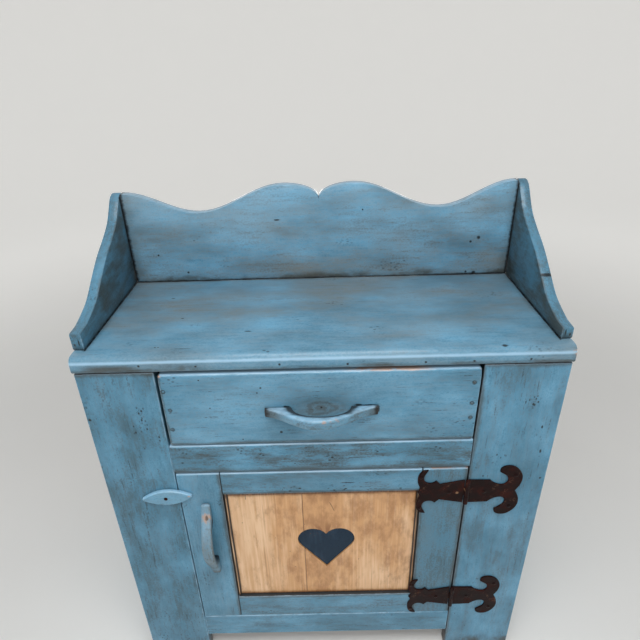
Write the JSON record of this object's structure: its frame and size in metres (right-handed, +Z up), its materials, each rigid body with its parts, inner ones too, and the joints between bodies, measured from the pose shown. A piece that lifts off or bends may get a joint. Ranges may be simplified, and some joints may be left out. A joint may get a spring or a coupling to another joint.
{
  "type": "milk cupboard",
  "caption": "Blue-painted milk cupboard with a scalloped gallery on its top, a drawer above a framed pine-panel door with a heart, wrought ram's-horn hinges and a wooden turn button.",
  "frame": {"origin": "on the floor, under the centre of the whole cupboard's box, handles included", "axes": "+Z up, +X towards the hinge side of the door, +Y towards the back, so the drawer and door face -Y"},
  "size_m": [0.76, 0.3433, 0.9233],
  "materials": {
    "blue_paint": "worn satin milk paint with dark wax",
    "bare_wood": "unpainted, aged",
    "honey_pine": "waxed pine",
    "heart_paint": "dark slate-blue milk paint",
    "forged_iron": "forged, dark brown with rust"
  },
  "bodies": {
    "carcass": {"left_side": "blue_paint", "right_side": "blue_paint", "top_board": "blue_paint", "bottom_board": "bare_wood", "left_face_stile": "blue_paint", "right_face_stile": "blue_paint", "drawer_rail": "blue_paint", "bottom_rail": "blue_paint", "back_plank_1": "bare_wood", "back_plank_2": "bare_wood", "back_plank_3": "bare_wood", "back_plank_4": "bare_wood", "shelf": "bare_wood", "left_shelf_cleat": "bare_wood", "right_shelf_cleat": "bare_wood", "left_bottom_cleat": "bare_wood", "right_bottom_cleat": "bare_wood", "left_runner_cleat": "bare_wood", "right_runner_cleat": "bare_wood", "left_drawer_runner": "bare_wood", "right_drawer_runner": "bare_wood", "left_drawer_guide": "bare_wood", "right_drawer_guide": "bare_wood", "door_stop": "bare_wood", "gallery_back": "blue_paint", "gallery_left": "blue_paint", "gallery_right": "blue_paint", "upper_hinge_frame_leaf": "forged_iron", "lower_hinge_frame_leaf": "forged_iron", "upper_hinge_pin": "forged_iron", "lower_hinge_pin": "forged_iron", "turn_button_nail": "forged_iron"},
    "drawer": {"drawer_front": "blue_paint", "drawer_left_side": "bare_wood", "drawer_right_side": "bare_wood", "drawer_back": "bare_wood", "drawer_bottom": "bare_wood", "drawer_handle": "blue_paint"},
    "door": {"door_lock_stile": "blue_paint", "door_hinge_stile": "blue_paint", "door_top_rail": "blue_paint", "door_bottom_rail": "blue_paint", "panel_left_board": "honey_pine", "panel_right_board": "honey_pine", "heart_inlay": "heart_paint", "left_bead": "honey_pine", "right_bead": "honey_pine", "door_handle": "blue_paint", "upper_hinge_door_leaf": "forged_iron", "lower_hinge_door_leaf": "forged_iron"},
    "turn_button": {"turn_button": "blue_paint"}
  },
  "joints": [
    {"name": "drawer_slide", "type": "slide", "parent": "carcass", "child": "drawer", "axis": [0, -1, 0], "range_m": [0, 0.2]},
    {"name": "door_hinge", "type": "hinge", "parent": "carcass", "child": "door", "pos_m": [0.24325, -0.13385, 0.3119], "axis": [0, 0, 1], "range_deg": [0, 170]},
    {"name": "button_turn", "type": "hinge", "parent": "carcass", "child": "turn_button", "pos_m": [-0.2762, -0.12985, 0.4576], "axis": [0, 1, 0], "continuous": true}
  ]
}
